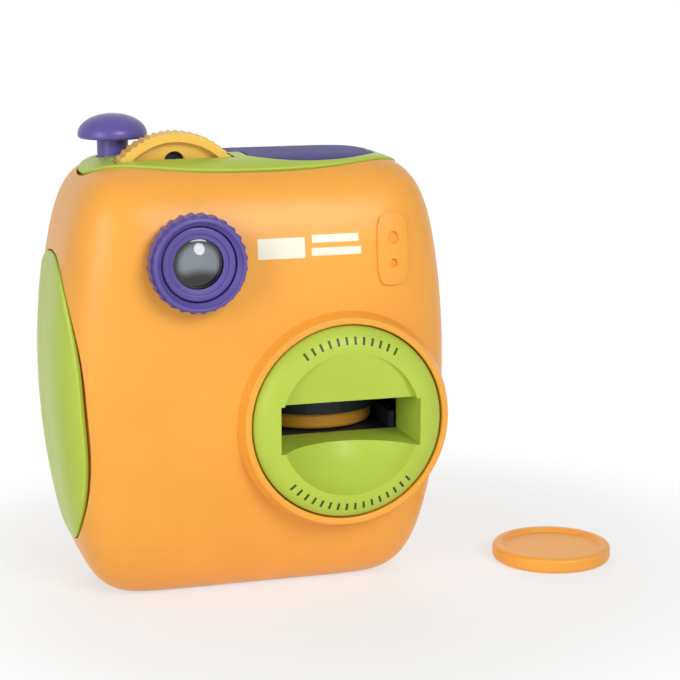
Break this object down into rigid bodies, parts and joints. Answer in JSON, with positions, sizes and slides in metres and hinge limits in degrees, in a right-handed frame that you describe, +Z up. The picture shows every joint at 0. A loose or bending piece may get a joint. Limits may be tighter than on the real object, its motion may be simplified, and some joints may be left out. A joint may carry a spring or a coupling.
{
  "type": "toy projector camera",
  "caption": "Pillow-shaped toy camera with a slide projector, a knurled focus ring, a slide wheel in the top and a push-button launcher for flat discs.",
  "frame": {"origin": "middle of the flat base that the toy stands on", "axes": "+Z up, -Y out of the front with the lens, +X to the right of someone who faces the front"},
  "size_m": [0.1557, 0.0714, 0.126],
  "materials": {
    "orange_plastic": "satin",
    "green_plastic": "satin",
    "purple_plastic": "gloss",
    "yellow_plastic": "satin",
    "black_plastic": "satin",
    "white_plastic": "satin",
    "clear_lens": "polished",
    "steel": "plated"
  },
  "bodies": {
    "housing": {"front_shell": "orange_plastic", "rear_shell": "orange_plastic", "top_panel": "green_plastic", "left_grip": "green_plastic", "lid_hinge_pin": "steel", "ejector_bezel": "green_plastic", "stacked_disc_1": "orange_plastic", "stacked_disc_2": "orange_plastic", "launch_deck": "black_plastic", "magazine_tube": "black_plastic", "bearing_post": "green_plastic", "rod_guide": "green_plastic", "button_spring": "steel", "wheel_axle": "steel", "projector_frame": "black_plastic", "condenser_lens": "clear_lens", "led": "white_plastic", "led_board": "green_plastic", "battery_tube": "black_plastic", "button_cell_1": "steel", "button_cell_2": "steel", "button_cell_3": "steel", "switch_body": "black_plastic", "shell_screw_1": "steel", "shell_screw_2": "steel", "shell_screw_3": "steel", "shell_screw_4": "steel"},
    "button": {"launch_button": "purple_plastic", "push_rod": "white_plastic"},
    "rocker": {"rocker_shaft": "steel", "striker_arm": "purple_plastic", "trigger_crank": "purple_plastic"},
    "pusher": {"striker": "purple_plastic"},
    "flying_disc": {"loaded_disc": "orange_plastic"},
    "wheel": {"slide_wheel": "yellow_plastic", "film_disc": "black_plastic"},
    "lens_carrier": {"lens_cell": "purple_plastic", "projector_lens": "clear_lens"},
    "focus": {"focus_ring": "purple_plastic"},
    "lid": {"loading_lid": "purple_plastic"},
    "door": {"battery_door": "orange_plastic", "door_contact": "steel", "door_screw": "steel"},
    "switch": {"switch_knob": "black_plastic"},
    "loose_disc": {"table_disc": "orange_plastic"}
  },
  "joints": [
    {"name": "launch_press", "type": "slide", "parent": "housing", "child": "button", "axis": [0, 0, -1], "range_m": [0, 0.0036], "stiffness_N_per_m": 10, "springref_m": -0.008, "deforming": ["button_spring"]},
    {"name": "rocker_turn", "type": "hinge", "parent": "housing", "child": "rocker", "pos_m": [0, 0.0091, 0.0122], "axis": [1, 0, 0], "range_deg": [0, 60]},
    {"name": "striker_stroke", "type": "slide", "parent": "housing", "child": "pusher", "axis": [0, -1, 0], "range_m": [0, 0.024]},
    {"name": "disc_launch", "type": "slide", "parent": "housing", "child": "flying_disc", "axis": [0, -1, 0], "range_m": [0, 0.06]},
    {"name": "slide_turn", "type": "hinge", "parent": "housing", "child": "wheel", "pos_m": [-0.0194, -0.0085, 0.103], "axis": [0, 1, 0], "continuous": true},
    {"name": "focus_travel", "type": "slide", "parent": "housing", "child": "lens_carrier", "axis": [0, -1, 0], "range_m": [0, 0.002]},
    {"name": "focus_turn", "type": "hinge", "parent": "lens_carrier", "child": "focus", "pos_m": [-0.0194, -0.035, 0.0917], "axis": [0, -1, 0], "range_deg": [0, 150]},
    {"name": "lid_open", "type": "hinge", "parent": "housing", "child": "lid", "pos_m": [-0.0018, 0.003, 0.1144], "axis": [0, -1, 0], "range_deg": [0, 90]},
    {"name": "door_off", "type": "slide", "parent": "housing", "child": "door", "axis": [0, 1, 0], "range_m": [0, 0.02]},
    {"name": "power_slide", "type": "slide", "parent": "housing", "child": "switch", "axis": [1, 0, 0], "range_m": [0, 0.004]},
    {"name": "loose_disc_lift", "type": "slide", "parent": "housing", "child": "loose_disc", "axis": [0, 0, 1], "range_m": [0, 0.05]}
  ],
  "couplings": [
    {"joint": "launch_press", "follows": "striker_stroke", "ratio": 0.15},
    {"joint": "rocker_turn", "follows": "striker_stroke", "rad_per_m": 43.633},
    {"joint": "disc_launch", "follows": "striker_stroke", "ratio": 2.5},
    {"joint": "focus_travel", "follows": "focus_turn", "m_per_rad": 0.00076394}
  ]
}
